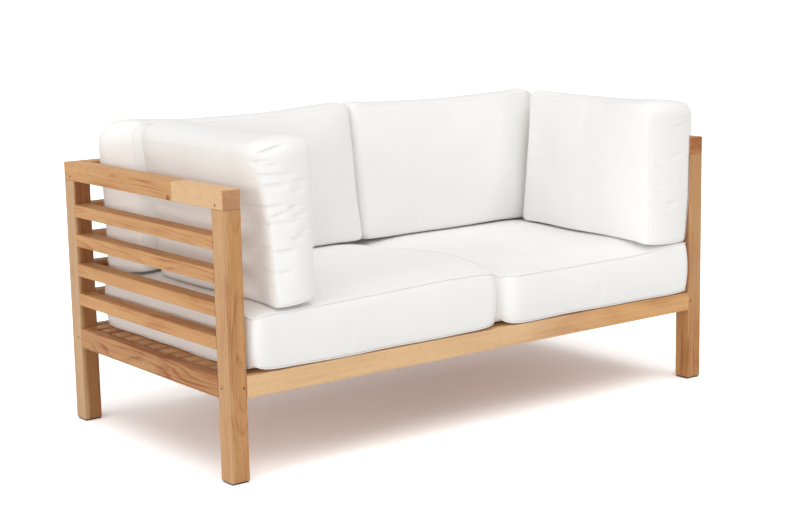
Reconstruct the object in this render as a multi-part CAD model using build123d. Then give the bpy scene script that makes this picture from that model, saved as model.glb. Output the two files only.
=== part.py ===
from build123d import *
import math
import os
from collections import namedtuple

# Patio loveseat: a teak frame with slatted arms, back and seat, and six loose cushions.
# Millimetres, +Z up. X runs along the seat with the left arm at -X, and the front looks to -Y.
# The origin is on the ground at the middle of the frame's footprint.

# The frame as a whole
FRAME_LENGTH = 1600.0
FRAME_DEPTH = 805.0
FRAME_HEIGHT = 705.0
POST_SIDE = 50.0
EDGE_ROUND = 2.5

# Rails along the top of the arms and the back, as wide as the posts
TOP_RAIL_HEIGHT = 48.0

# Rails round the seat
SEAT_RAIL_TOP = 258.0
SEAT_RAIL_HEIGHT = 53.0
SEAT_RAIL_THICKNESS = 27.0

# Horizontal slats that fill the arms and the back
SLAT_ROWS = 4
SLAT_HEIGHT = 33.0
SLAT_THICKNESS = 45.0

# Seat slats along X, the strips that carry their ends and the bearers under their span
SEAT_SLAT_COUNT = 12
SEAT_SLAT_WIDTH = 43.0
SEAT_SLAT_THICKNESS = 16.0
SEAT_SLAT_END_PLAY = 1.0
NOTCH_PLAY = 1.5
CLEAT_WIDTH = 20.0
CLEAT_HEIGHT = 25.0
BEARER_WIDTH = 40.0
BEARER_OFFSET = 255.0

# Mortise and tenon joints
TENON_THICKNESS_SHARE = 1 / 3
TENON_SHOULDER = 5.0
TENON_WEB = 3.0
TENON_CHAMFER = 1.0
MORTISE_PLAY = 0.15
MORTISE_END_PLAY = 1.5
POST_TENON_SIDE_SHARE = 0.56
POST_TENON_HEIGHT_SHARE = 0.45
BEARER_TENON_SHARE = 0.5
TOP_TENON_SHARE = 0.6
ROUND_LIMIT_SHARE = 0.3

# Wooden pins that lock the tenons
PIN_DIAMETER = 7.0
PIN_LENGTH = 26.0
ARM_PIN_LENGTH = 40.0
PIN_PLAY = 0.1
FRONT_PIN_INSET = 8.5
SIDE_PIN_INSET = 17.0

# Glides under the posts
GLIDE_THICKNESS = 4.0
GLIDE_INSET = 3.0
GLIDE_STEM_DIAMETER = 8.0
GLIDE_STEM_LENGTH = 16.0
GLIDE_CHAMFER = 1.0

# Cushions: play to their neighbours, how a border swells and how a side draws in
CUSHION_PLAY = 0.3
BORDER_SWELL = 3.0
SIDE_DRAW = 5.0
CORNER_ROUND = 22.0
CROWN_INSET_SHARES = (0.0, 0.06, 0.2, 0.5)
CROWN_RISE_SHARES = (0.0, 0.46, 0.82, 1.0)
CROWN_CORNER_SHARE = 0.7
CORE_WRAP = 17.0
SETTLE_STEPS = 2

# The two cushion halves meet a little to the right of the middle
CUSHION_SEAM_X = 30.0

# Seat cushions
SEAT_BORDER = 136.0
SEAT_TOP_CROWN = 11.0
SEAT_UNDER_CROWN = 4.0
SEAT_FRONT_INSET = 5.0
SEAT_LEFT_GAP = 14.0
SEAT_RIGHT_GAP = 5.0

# Back cushions
BACK_CUSHION_HEIGHT = 404.0
BACK_BORDER = 110.0
BACK_FRONT_CROWN = 24.0
BACK_REAR_CROWN = 9.0
BACK_LEAN = 4.0
BACK_LEFT_GAP = 25.0
BACK_RIGHT_GAP = 8.0

# Arm cushions
ARM_REAR_GAP = 65.0
ARM_CUSHION_HEIGHT = 404.0
ARM_BORDER = 118.0
ARM_INNER_CROWN = 22.0
ARM_OUTER_CROWN = 12.0
ARM_LEAN = 4.0
ARM_FRONT_INSET = 5.0
ARM_LEFT_STANDOFF = 58.0

# Places worked out from the sizes above
half_length = FRAME_LENGTH / 2
half_depth = FRAME_DEPTH / 2
post_inner_x = half_length - POST_SIDE
post_inner_y = half_depth - POST_SIDE
top_rail_bottom = FRAME_HEIGHT - TOP_RAIL_HEIGHT
seat_rail_bottom = SEAT_RAIL_TOP - SEAT_RAIL_HEIGHT
seat_inner_x = half_length - SEAT_RAIL_THICKNESS
seat_inner_y = half_depth - SEAT_RAIL_THICKNESS
seat_slat_bottom = SEAT_RAIL_TOP - SEAT_SLAT_THICKNESS
post_tenon_side = POST_SIDE * POST_TENON_SIDE_SHARE
post_tenon_height = TOP_RAIL_HEIGHT * POST_TENON_HEIGHT_SHARE
slat_pitch = (top_rail_bottom - SEAT_RAIL_TOP) / (SLAT_ROWS + 1)
slat_middles = [SEAT_RAIL_TOP + slat_pitch * (row + 1) for row in range(SLAT_ROWS)]
arm_front_y = -half_depth + ARM_FRONT_INSET
arm_rear_y = post_inner_y - BACK_REAR_CROWN - BACK_BORDER - BACK_FRONT_CROWN - ARM_REAR_GAP
seat_slat_gap = (2 * seat_inner_y - SEAT_SLAT_COUNT * SEAT_SLAT_WIDTH) / (SEAT_SLAT_COUNT + 1)
seat_slat_pitch = SEAT_SLAT_WIDTH + seat_slat_gap
seat_slat_middles = [
    (index - (SEAT_SLAT_COUNT - 1) / 2) * seat_slat_pitch for index in range(SEAT_SLAT_COUNT)
]

SIDES = {"left": -1, "right": 1}
ENDS = {"front": -1, "rear": 1}

# A bar that ends in tenons, with the space its tenons need in the posts or rails they enter
Joined = namedtuple("Joined", "solid mortise")


def about(middle, size):
    """The span of a size centred on a middle."""
    return (middle - size / 2, middle + size / 2)


def grown(span, play):
    """A span made longer by the play at both ends."""
    return (span[0] - play, span[1] + play)


def inward(side, face, depth):
    """The span that starts at a face on one side of the frame and goes in by a depth."""
    return tuple(sorted((side * face, side * (face - depth))))


def block(x, y, z):
    """A plain block from its spans along X, Y and Z."""
    spans = (x, y, z)
    middle = [(low + high) / 2 for low, high in spans]
    return Pos(*middle) * Box(*[high - low for low, high in spans])


def laid(axis, along, across, lift):
    """A block that runs along X or along Y."""
    if axis == Axis.X:
        return block(along, across, lift)
    return block(across, along, lift)


def eased(solid, edges, *widths):
    """Rounds the given edges, never by more than the narrowest width can take."""
    return fillet(edges, min(EDGE_ROUND, min(widths) * ROUND_LIMIT_SHARE))


def width_of(span):
    return span[1] - span[0]


def tenon_depth(thickness):
    """How deep a tenon may go before it meets the one that enters the post from the side."""
    return POST_SIDE - thickness * (1 + TENON_THICKNESS_SHARE) / 2 - TENON_WEB


def tenoned_bar(axis, shoulders, across, lift, depth, tenon_lift=None):
    """A bar with rounded long edges and a tenon at each end, and the mortises for them."""
    body = laid(axis, shoulders, across, lift)
    body = eased(body, body.edges().filter_by(axis), width_of(across), width_of(lift))
    tenon_across = about(sum(across) / 2, width_of(across) * TENON_THICKNESS_SHARE)
    tenon_lift = tenon_lift or grown(lift, -TENON_SHOULDER)
    tenon = laid(axis, grown(shoulders, depth), tenon_across, tenon_lift)
    ends = tenon.edges().group_by(axis)
    tenon = chamfer(ends[0] + ends[-1], TENON_CHAMFER)
    mortise = laid(
        axis,
        grown(shoulders, depth + MORTISE_END_PLAY),
        grown(tenon_across, MORTISE_PLAY),
        grown(tenon_lift, MORTISE_PLAY),
    )
    return Joined(body + tenon, mortise)


def make_slats():
    """The slats of both arms and of the back, one row above the other."""
    depth = tenon_depth(SLAT_THICKNESS)
    slats = {}
    for row, middle in enumerate(slat_middles, start=1):
        lift = about(middle, SLAT_HEIGHT)
        for name, side in SIDES.items():
            across = inward(side, half_length, SLAT_THICKNESS)
            shoulders = (-post_inner_y, post_inner_y)
            slats[f"arm_slat_{name}_{row}"] = tenoned_bar(Axis.Y, shoulders, across, lift, depth)
        across = inward(ENDS["rear"], half_depth, SLAT_THICKNESS)
        shoulders = (-post_inner_x, post_inner_x)
        slats[f"back_slat_{row}"] = tenoned_bar(Axis.X, shoulders, across, lift, depth)
    return slats


def make_seat_rails():
    """The four rails round the seat, flush with the outer faces of the posts."""
    depth = tenon_depth(SEAT_RAIL_THICKNESS)
    lift = (seat_rail_bottom, SEAT_RAIL_TOP)
    rails = {}
    for name, end in ENDS.items():
        across = inward(end, half_depth, SEAT_RAIL_THICKNESS)
        shoulders = (-post_inner_x, post_inner_x)
        rails[f"seat_rail_{name}"] = tenoned_bar(Axis.X, shoulders, across, lift, depth)
    for name, side in SIDES.items():
        across = inward(side, half_length, SEAT_RAIL_THICKNESS)
        shoulders = (-post_inner_y, post_inner_y)
        rails[f"seat_rail_{name}"] = tenoned_bar(Axis.Y, shoulders, across, lift, depth)
    return rails


def make_bearers():
    """Two bearers from the front rail to the rear rail that carry the seat slats mid-span."""
    depth = SEAT_RAIL_THICKNESS * BEARER_TENON_SHARE
    bearers = {}
    for name, side in SIDES.items():
        across = about(side * BEARER_OFFSET, BEARER_WIDTH)
        bearers[f"seat_bearer_{name}"] = tenoned_bar(
            Axis.Y, (-seat_inner_y, seat_inner_y), across, (seat_rail_bottom, seat_slat_bottom), depth
        )
    return bearers


def make_back_top_rail():
    """The top rail of the back, tenoned into the arm rails above the tenons of the rear posts."""
    low = top_rail_bottom + post_tenon_height + MORTISE_END_PLAY + TENON_WEB
    return tenoned_bar(
        Axis.X,
        (-post_inner_x, post_inner_x),
        inward(ENDS["rear"], half_depth, POST_SIDE),
        (top_rail_bottom, FRAME_HEIGHT),
        POST_SIDE * TOP_TENON_SHARE,
        (low, FRAME_HEIGHT - TENON_SHOULDER),
    )


def post_tenon(side, end, play, end_play):
    """The square tenon on top of a post, or with play the mortise above it."""
    middle_x = side * (half_length - POST_SIDE / 2)
    middle_y = end * (half_depth - POST_SIDE / 2)
    return block(
        grown(about(middle_x, post_tenon_side), play),
        grown(about(middle_y, post_tenon_side), play),
        (top_rail_bottom - POST_SIDE / 2, top_rail_bottom + post_tenon_height + end_play),
    )


def glide_stem(side, end, radius, top):
    """The round stem of a glide from the ground up to a height."""
    middle_x = side * (half_length - POST_SIDE / 2)
    middle_y = end * (half_depth - POST_SIDE / 2)
    return Pos(middle_x, middle_y, top / 2) * Cylinder(radius, top)


def make_post(side, end, mortises):
    """A corner post with its top tenon, cut for every tenon, pin and stem that enters it."""
    body = block(
        inward(side, half_length, POST_SIDE),
        inward(end, half_depth, POST_SIDE),
        (GLIDE_THICKNESS, top_rail_bottom),
    )
    edges = body.edges().filter_by(Axis.Z) + body.edges().group_by(Axis.Z)[0]
    post = eased(body, edges, POST_SIDE) + post_tenon(side, end, 0, 0)
    stem_top = GLIDE_THICKNESS + GLIDE_STEM_LENGTH + MORTISE_END_PLAY
    return post - mortises - glide_stem(side, end, GLIDE_STEM_DIAMETER / 2 + MORTISE_PLAY, stem_top)


def make_glide(side, end):
    """A black pad under a post, a little inside its faces, with a stem up its middle."""
    pad = block(
        inward(side, half_length - GLIDE_INSET, POST_SIDE - 2 * GLIDE_INSET),
        inward(end, half_depth - GLIDE_INSET, POST_SIDE - 2 * GLIDE_INSET),
        (0, GLIDE_THICKNESS),
    )
    pad = chamfer(pad.edges().group_by(Axis.Z)[0], GLIDE_CHAMFER)
    return pad + glide_stem(side, end, GLIDE_STEM_DIAMETER / 2, GLIDE_THICKNESS + GLIDE_STEM_LENGTH)


def make_arm_rail(side, mortises):
    """The top rail of an arm, over both posts from front to rear."""
    body = block(
        inward(side, half_length, POST_SIDE),
        (-half_depth, half_depth),
        (top_rail_bottom, FRAME_HEIGHT),
    )
    rail = eased(body, body.edges(), POST_SIDE, TOP_RAIL_HEIGHT)
    for end in ENDS.values():
        rail -= post_tenon(side, end, MORTISE_PLAY, MORTISE_END_PLAY)
    return rail - mortises


def pin_places():
    """Where each pin starts, on an outer face, with its way in and its length."""
    seat_middle = (seat_rail_bottom + SEAT_RAIL_TOP) / 2
    arm_middle = top_rail_bottom + post_tenon_height / 2
    places = []
    for side in SIDES.values():
        for end in ENDS.values():
            front_x = side * (post_inner_x + FRONT_PIN_INSET)
            side_y = end * (post_inner_y + SIDE_PIN_INSET)
            places.append(((front_x, end * half_depth, seat_middle), (0, -end, 0), PIN_LENGTH))
            places.append(((side * half_length, side_y, seat_middle), (-side, 0, 0), PIN_LENGTH))
            places.append(((side * half_length, side_y, arm_middle), (-side, 0, 0), ARM_PIN_LENGTH))
    return places


def make_pins(play):
    """Round pins through the posts and the tenons in them, or with play their holes."""
    pins = []
    for start, way, length in pin_places():
        plane = Plane(origin=start, z_dir=way)
        depth = length + (MORTISE_END_PLAY if play else 0)
        pins.append(plane * Pos(0, 0, depth / 2) * Cylinder(PIN_DIAMETER / 2 + play, depth))
    return pins


def make_seat_slat(middle):
    """One seat slat between the side rails, notched where it would meet a post."""
    across = about(middle, SEAT_SLAT_WIDTH)
    ends = seat_inner_x - SEAT_SLAT_END_PLAY
    body = block((-ends, ends), across, (seat_slat_bottom, SEAT_RAIL_TOP))
    slat = eased(body, body.edges().filter_by(Axis.X), SEAT_SLAT_WIDTH, SEAT_SLAT_THICKNESS)
    if max(abs(across[0]), abs(across[1])) > post_inner_y - NOTCH_PLAY:
        for side in SIDES.values():
            slat -= block(
                grown(inward(side, half_length, POST_SIDE), NOTCH_PLAY),
                grown(inward(math.copysign(1, middle), half_depth, POST_SIDE), NOTCH_PLAY),
                (seat_slat_bottom, SEAT_RAIL_TOP),
            )
    return slat


def make_cleat(side):
    """A strip along a side rail, between the posts, that the slats' ends lie on."""
    body = block(
        inward(side, seat_inner_x, CLEAT_WIDTH),
        (-post_inner_y, post_inner_y),
        (seat_slat_bottom - CLEAT_HEIGHT, seat_slat_bottom),
    )
    edges = body.edges().filter_by(Axis.Y)
    return eased(body, edges, CLEAT_WIDTH, CLEAT_HEIGHT)


def cushion_outline(width, height, inset):
    """A cushion's outline: sides drawn in between rounded corners."""
    x = width / 2 - inset
    y = height / 2 - inset
    dip_x = x - SIDE_DRAW
    dip_y = y - SIDE_DRAW
    sides = [
        ThreePointArc((-x, -y), (0, -dip_y), (x, -y)),
        ThreePointArc((x, -y), (dip_x, 0), (x, y)),
        ThreePointArc((x, y), (0, dip_y), (-x, y)),
        ThreePointArc((-x, y), (-dip_x, 0), (-x, -y)),
    ]
    face = make_face(Wire(sides))
    corner = CORNER_ROUND + max(inset, 0) * CROWN_CORNER_SHARE
    return fillet(face.vertices(), min(corner, 2 * min(x, y) * ROUND_LIMIT_SHARE))


def make_crown(width, height, rise):
    """The low dome over a seam: outlines that step in as they rise, under a small flat top."""
    reach = min(width, height) / 2
    outlines = [
        Pos(0, 0, rise * up) * cushion_outline(width, height, reach * inward_share)
        for inward_share, up in zip(CROWN_INSET_SHARES, CROWN_RISE_SHARES)
    ]
    return loft(outlines)


def make_cushion(width, height, border, top_crown, under_crown):
    """A boxed cushion lying flat on Z zero, as a cover with its wadding and a foam core.

    The border swells between its two seams, and both faces are crowned. The border and the
    crowns are sewn into one closed solid along the seams, without the flat faces there.
    """
    seams = [
        cushion_outline(width, height, 0),
        Pos(0, 0, border / 2) * cushion_outline(width, height, -BORDER_SWELL),
        Pos(0, 0, border) * cushion_outline(width, height, 0),
    ]
    top = Pos(0, 0, border) * make_crown(width, height, top_crown)
    under = mirror(make_crown(width, height, under_crown), Plane.XY)
    panels = loft(seams).faces().sort_by(Axis.Z)[1:-1]
    panels += top.faces().sort_by(Axis.Z)[1:]
    panels += under.faces().sort_by(Axis.Z)[:-1]
    body = Solid(Shell(panels))
    body = Pos(0, 0, under_crown) * body
    inside = CORE_WRAP + SIDE_DRAW
    core = Box(width - 2 * inside, height - 2 * inside, border - 2 * CORE_WRAP)
    core = Pos(0, 0, under_crown + border / 2) * core
    return body - core, core


def placed(pieces, location):
    return [location * piece for piece in pieces]


def stood(pieces, lean, turn):
    """Stands flat cushion pieces on their lower edge, leans the top away and turns them."""
    pose = Rot(0, 0, turn) * Rot(-lean, 0, 0) * Rot(90, 0, 0)
    return placed(pieces, pose)


def set_down(pieces, ground):
    """Moves pieces up or down until the first one stands on the ground height."""
    low = pieces[0].bounding_box().min.Z
    return placed(pieces, Pos(0, 0, ground + CUSHION_PLAY - low))


def settled(pieces, support):
    """Lets standing pieces down until the first one has only the play to its support."""
    for _ in range(SETTLE_STEPS):
        drop = pieces[0].distance_to(support) - CUSHION_PLAY
        pieces = placed(pieces, Pos(0, 0, -drop))
    return pieces


def below_rail(piece):
    """The part of a cushion that is lower than the top rails, where it can lean on them."""
    reach = 2 * FRAME_LENGTH
    return piece & block((-reach, reach), (-reach, reach), (0, FRAME_HEIGHT))


def make_seat_cushion(name):
    """One half of the seat, from the seam to the post, from the front rail to the back."""
    seam_gap = BORDER_SWELL + CUSHION_PLAY / 2
    if name == "left":
        span = (-post_inner_x + SEAT_LEFT_GAP, CUSHION_SEAM_X - seam_gap)
    else:
        span = (CUSHION_SEAM_X + seam_gap, post_inner_x - SEAT_RIGHT_GAP)
    front = -half_depth + SEAT_FRONT_INSET
    rear = post_inner_y - BORDER_SWELL - CUSHION_PLAY
    pieces = make_cushion(width_of(span), rear - front, SEAT_BORDER, SEAT_TOP_CROWN, SEAT_UNDER_CROWN)
    middle = Pos(sum(span) / 2, (front + rear) / 2, 0)
    return set_down(placed(pieces, middle), SEAT_RAIL_TOP)


def make_back_cushion(name, seat):
    """A back cushion on the rear of a seat cushion, leaning on the back's top rail."""
    seam_gap = BORDER_SWELL + CUSHION_PLAY / 2
    if name == "left":
        span = (-post_inner_x + BACK_LEFT_GAP, CUSHION_SEAM_X - seam_gap)
    else:
        span = (CUSHION_SEAM_X + seam_gap, post_inner_x - BACK_RIGHT_GAP)
    pieces = make_cushion(
        width_of(span), BACK_CUSHION_HEIGHT, BACK_BORDER, BACK_FRONT_CROWN, BACK_REAR_CROWN
    )
    pieces = set_down(stood(pieces, BACK_LEAN, 0), seat_cushion_top)
    rear = below_rail(pieces[0]).bounding_box().max.Y
    return settled(placed(pieces, Pos(sum(span) / 2, post_inner_y - CUSHION_PLAY - rear, 0)), seat)


def make_arm_cushion(name, seat):
    """An arm cushion on the side of a seat cushion, leaning outward at the top."""
    side = SIDES[name]
    length = arm_rear_y - arm_front_y
    pieces = make_cushion(length, ARM_CUSHION_HEIGHT, ARM_BORDER, ARM_INNER_CROWN, ARM_OUTER_CROWN)
    pieces = set_down(stood(pieces, ARM_LEAN, -90 * side), seat_cushion_top)
    box = below_rail(pieces[0]).bounding_box()
    outermost = box.max.X if side > 0 else -box.min.X
    standoff = ARM_LEFT_STANDOFF if name == "left" else CUSHION_PLAY
    middle_y = (arm_front_y + arm_rear_y) / 2
    outward = Pos(side * (post_inner_x - standoff - outermost), middle_y, 0)
    return settled(placed(pieces, outward), seat)


seat_cushion_top = SEAT_RAIL_TOP + CUSHION_PLAY + SEAT_UNDER_CROWN + SEAT_BORDER + SEAT_TOP_CROWN

slats = make_slats()
seat_rails = make_seat_rails()
bearers = make_bearers()
back_top_rail = make_back_top_rail()
pin_holes = make_pins(PIN_PLAY)
post_mortises = [joined.mortise for joined in (slats | seat_rails).values()] + pin_holes
rail_mortises = [joined.mortise for joined in bearers.values()] + pin_holes

parts = {}
for end_name, end in ENDS.items():
    for side_name, side in SIDES.items():
        parts[f"post_{end_name}_{side_name}"] = make_post(side, end, post_mortises)
        parts[f"glide_{end_name}_{side_name}"] = make_glide(side, end)
for side_name, side in SIDES.items():
    parts[f"arm_rail_{side_name}"] = make_arm_rail(side, [back_top_rail.mortise] + pin_holes)
    parts[f"seat_cleat_{side_name}"] = make_cleat(side)
parts["back_top_rail"] = back_top_rail.solid
for name, rail in seat_rails.items():
    parts[name] = rail.solid - rail_mortises
for name, joined in (slats | bearers).items():
    parts[name] = joined.solid
for index, middle in enumerate(seat_slat_middles, start=1):
    parts[f"seat_slat_{index:02d}"] = make_seat_slat(middle)
parts["tenon_pins"] = Compound(children=make_pins(0))
for name in SIDES:
    seat_cushion = make_seat_cushion(name)
    cushions = {
        "seat": seat_cushion,
        "back": make_back_cushion(name, seat_cushion[0]),
        "arm": make_arm_cushion(name, seat_cushion[0]),
    }
    for place, (cover, core) in cushions.items():
        parts[f"{place}_cushion_{name}_cover"] = cover
        parts[f"{place}_cushion_{name}_core"] = core

os.makedirs("parts", exist_ok=True)
for name, solid in parts.items():
    export_step(solid, os.path.join("parts", f"{name}.step"))
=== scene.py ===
"""Patio loveseat: a teak frame with slatted arms, back and seat, and six loose boxed cushions.

Metres and +Z up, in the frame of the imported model. X runs along the seat with the left arm at
-X, and the front looks to -Y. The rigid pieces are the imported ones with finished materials. The
cushion covers are sewn and blown up here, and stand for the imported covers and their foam.
"""
from typing import NamedTuple

import bpy
import numpy as np
from mathutils import Euler, Matrix, Vector


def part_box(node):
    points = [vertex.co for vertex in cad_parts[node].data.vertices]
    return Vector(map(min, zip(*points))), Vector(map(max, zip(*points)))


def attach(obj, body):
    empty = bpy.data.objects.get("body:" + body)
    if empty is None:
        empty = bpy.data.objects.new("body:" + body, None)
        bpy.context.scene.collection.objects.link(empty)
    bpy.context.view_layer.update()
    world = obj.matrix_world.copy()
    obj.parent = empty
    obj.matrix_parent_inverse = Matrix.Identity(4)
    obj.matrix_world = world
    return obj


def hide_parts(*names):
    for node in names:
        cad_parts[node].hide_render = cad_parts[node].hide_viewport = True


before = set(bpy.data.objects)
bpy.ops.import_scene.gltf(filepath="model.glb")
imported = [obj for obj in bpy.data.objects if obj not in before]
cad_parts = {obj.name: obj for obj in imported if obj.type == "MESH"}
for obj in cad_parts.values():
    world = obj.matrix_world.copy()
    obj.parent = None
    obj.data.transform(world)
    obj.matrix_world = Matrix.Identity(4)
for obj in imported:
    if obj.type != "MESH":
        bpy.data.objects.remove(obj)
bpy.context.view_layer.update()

bl_info = {
    "name": "Patio loveseat",
    "version": (1, 0, 0),
    "blender": (4, 5, 0),
    "location": "3D View > Sidebar > Loveseat",
    "description": "Finishes the teak frame and sews the cushions of a patio loveseat",
    "category": "Object",
}

MM = 0.001
SIDES = ("left", "right")
OUTWARD = {"left": -1, "right": 1}


def linear(code):
    """Turns an sRGB colour such as "C08A55" into linear red, green and blue."""
    srgb = np.array([int(code[start:start + 2], 16) for start in (0, 2, 4)]) / 255
    return tuple(np.where(srgb > 0.04045, ((srgb + 0.055) / 1.055) ** 2.4, srgb / 12.92))


# Settings

class StageSettings(bpy.types.PropertyGroup):
    """The studio and the camera."""

    camera_place: bpy.props.FloatVectorProperty(
        name="Camera place", description="Where the camera stands",
        default=(-2.7859, -3.6987, 1.2204), subtype="TRANSLATION", unit="LENGTH",
    )
    camera_yaw: bpy.props.FloatProperty(
        name="Camera yaw", description="Turn of the view from +Y towards +X",
        default=0.64793, subtype="ANGLE",
    )
    camera_pitch: bpy.props.FloatProperty(
        name="Camera pitch", description="Tilt of the view above the horizon",
        default=-0.17436, subtype="ANGLE",
    )
    camera_roll: bpy.props.FloatProperty(
        name="Camera roll", description="Turn of the picture about the view",
        default=-0.01922, subtype="ANGLE",
    )
    lens: bpy.props.FloatProperty(
        name="Lens", description="Focal length for a sensor 36 mm wide",
        default=75.815, subtype="DISTANCE_CAMERA",
    )
    sky: bpy.props.FloatProperty(
        name="Sky", description="Strength of the even light from all round", default=0.48,
    )
    overhead: bpy.props.FloatProperty(
        name="Overhead light", description="Strength of the wide light from above", default=1.16,
    )
    key: bpy.props.FloatProperty(
        name="Key light", description="Strength of the soft light from the upper left", default=0.12,
    )
    front: bpy.props.FloatProperty(
        name="Front light", description="Strength of the soft light from the front", default=0.52,
    )
    side: bpy.props.FloatProperty(
        name="Side light", description="Strength of the low light from the left", default=0.70,
    )
    floor_colour: bpy.props.FloatVectorProperty(
        name="Floor", description="Paint of the studio floor",
        default=linear("F6F6F5"), subtype="COLOR", min=0, max=1,
    )
    floor_gain: bpy.props.FloatProperty(
        name="Floor gain", description="Times that the floor looks brighter before the camera only",
        default=1.85,
    )
    floor_lift: bpy.props.FloatVectorProperty(
        name="Floor lift", description="Cool light that evens out the teak's glow in the shadow",
        default=(0.0, 0.02, 0.04), subtype="COLOR",
    )


class TeakSettings(bpy.types.PropertyGroup):
    """Oiled teak that has been outdoors for a season."""

    pale: bpy.props.FloatVectorProperty(
        name="Early wood", description="Colour of the pale bands between the growth rings",
        default=linear("D9A770"), subtype="COLOR", min=0, max=1,
    )
    dark: bpy.props.FloatVectorProperty(
        name="Late wood", description="Colour of the growth ring lines",
        default=linear("A56436"), subtype="COLOR", min=0, max=1,
    )
    # Also the colour that two posts are paled towards beside their painted shade
    sap: bpy.props.FloatVectorProperty(
        name="Sapwood", description="Colour of the palest sapwood",
        default=linear("EFCFA4"), subtype="COLOR", min=0, max=1,
    )
    ring_width: bpy.props.FloatProperty(
        name="Ring width", description="Distance between growth rings",
        default=3.6 * MM, unit="LENGTH", precision=4,
    )
    pore_length: bpy.props.FloatProperty(
        name="Pore length", description="Length of the open pores along the grain",
        default=14 * MM, unit="LENGTH", precision=4,
    )


class CanvasSettings(bpy.types.PropertyGroup):
    """Off-white woven canvas of solution-dyed yarn."""

    colour: bpy.props.FloatVectorProperty(
        name="Canvas", description="Colour of the yarn",
        default=linear("F7F6F4"), subtype="COLOR", min=0, max=1,
    )
    # Twice as coarse as real canvas, so that the weave shows at all
    thread: bpy.props.FloatProperty(
        name="Thread spacing", description="Distance between neighbouring threads",
        default=1.1 * MM, unit="LENGTH", precision=4,
    )


class CushionSettings(bpy.types.PropertyGroup):
    """How the cushions are filled."""

    pressure: bpy.props.FloatProperty(
        name="Pressure", description="Push of the filling against the cover", default=2.0,
    )
    slack: bpy.props.FloatProperty(
        name="Slack", description="Share by which the cloth is cut larger than its filling",
        default=0.001,
    )
    travel: bpy.props.FloatProperty(
        name="Travel", description="Furthest that the filling may move a point of the cover",
        default=9 * MM, unit="LENGTH", precision=4,
    )


# Materials

def fill(tree, node, inputs):
    """Sets or links a node's inputs, given by name or number."""
    for name, value in dict(inputs).items():
        if isinstance(value, bpy.types.NodeSocket):
            tree.links.new(value, node.inputs[name])
        else:
            node.inputs[name].default_value = value


def add(tree, kind, inputs=(), **settings):
    """Adds one shader node with its settings and inputs."""
    node = tree.nodes.new(f"ShaderNode{kind}")
    for name, value in settings.items():
        setattr(node, name, value)
    fill(tree, node, inputs)
    return node


def new_material(name):
    """A material with an empty node tree, its output and its main shader."""
    material = bpy.data.materials.new(name)
    material.use_nodes = True
    tree = material.node_tree
    tree.nodes.clear()
    shader = add(tree, "BsdfPrincipled")
    add(tree, "OutputMaterial", {"Surface": shader.outputs[0]})
    return material, tree, shader


def ramp(tree, factor, stops):
    """A colour ramp with its stops given as places and colours."""
    node = add(tree, "ValToRGB", {"Fac": factor})
    elements = node.color_ramp.elements
    while len(elements) < len(stops):
        elements.new(0.5)
    for element, (place, colour) in zip(elements, stops):
        element.position = place
        element.color = (*colour, 1) if len(colour) == 3 else colour
    return node.outputs["Color"]


def maths(tree, operation, *values):
    """One sum, its values numbers or outputs of other nodes."""
    return add(tree, "Math", enumerate(values), operation=operation).outputs[0]


def vectors(tree, operation, *values):
    """Outputs of one vector sum: Vector, and Value for a length."""
    return add(tree, "VectorMath", enumerate(values), operation=operation).outputs


def mapped(tree, value, source, target, **settings):
    """A value carried from one range to another."""
    return add(tree, "MapRange", {
        "Value": value, "From Min": source[0], "From Max": source[1],
        "To Min": target[0], "To Max": target[1],
    }, **settings).outputs["Result"]


def noise(tree, place, per_metre, detail, **more):
    """Noise from 0 to 1 that swings so many times a metre along X, Y and Z."""
    scaled = add(tree, "Mapping", {"Vector": place, "Scale": per_metre}).outputs[0]
    return add(tree, "TexNoise", {
        "Vector": scaled, "Scale": 1.0, "Detail": detail, **more,
    }).outputs["Fac"]


def mixed(tree, share, one, other):
    """A colour from a node with a share of another colour in it."""
    return add(tree, "Mix", {
        "Factor": share, 6: one, 7: (*other, 1),
    }, data_type="RGBA").outputs[2]


def bumps(tree, height, strength, depth):
    """Normals for the fine relief of a height pattern, so many metres deep."""
    return add(tree, "Bump", {
        "Height": height, "Strength": strength, "Distance": depth,
    }).outputs[0]


def grey(level):
    return (level, level, level)


def shaded(colour, factor):
    """A colour made darker or lighter by a factor."""
    return tuple(min(1, channel * factor) for channel in colour)


# Powers of the tone for red, green and blue: oil takes most from the blue
OIL_POWERS = (0.95, 1.25, 1.5)


def oiled(colour, tone):
    """A wood colour at a tone: the darker, the redder, as oil makes it."""
    return tuple(min(1, channel * tone ** power) for channel, power in zip(colour, OIL_POWERS))


# Turns that bring each board's length onto the pattern's X axis
GRAIN_TURN = {"X": (0, 0, 0), "Y": (0, 0, -np.pi / 2), "Z": (0, np.pi / 2, 0)}
# Swings a metre along the grain and across it of the rings' bends, the streaks and the patches
RING_BENDS = (1.4, 8, 8)
STREAKS = (2.5, 120, 120)
PATCHES = (4, 17, 17)
PORES_ACROSS = 0.9 / MM
# How far the bends and a knot push the rings aside
BEND_PUSH = 60 * MM
KNOT_PUSH = 20 * MM
# A knot's reach on the rings, its dark core from middle to edge in knot radii, and its darkness
KNOT_REACH = 3.2
KNOT_CORE = (0.35, 1.5)
KNOT_DEPTH = 0.28
# Shares of ring lines, streaks and patches in the pattern's depth
RING_SHARE = 0.13
STREAK_SHARE = 0.42
PATCH_SHARE = 0.45
# The middle of the wood pattern, which calmer boards keep to
MEAN_DEPTH = 0.47
# How much darker sawn ends are, which drink more oil, and how much of the sapwood they lose
END_GRAIN_DEPTH = 0.14
END_GRAIN_LOSS = 0.5
# Noise levels between which pores open, how dark they are and how they cut into the surface
PORE_EDGE = (0.60, 0.72)
PORE_SHARE = 0.3
PORE_CUT = 0.7
WOOD_GLOSS = (0.5, 0.7)


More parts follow.
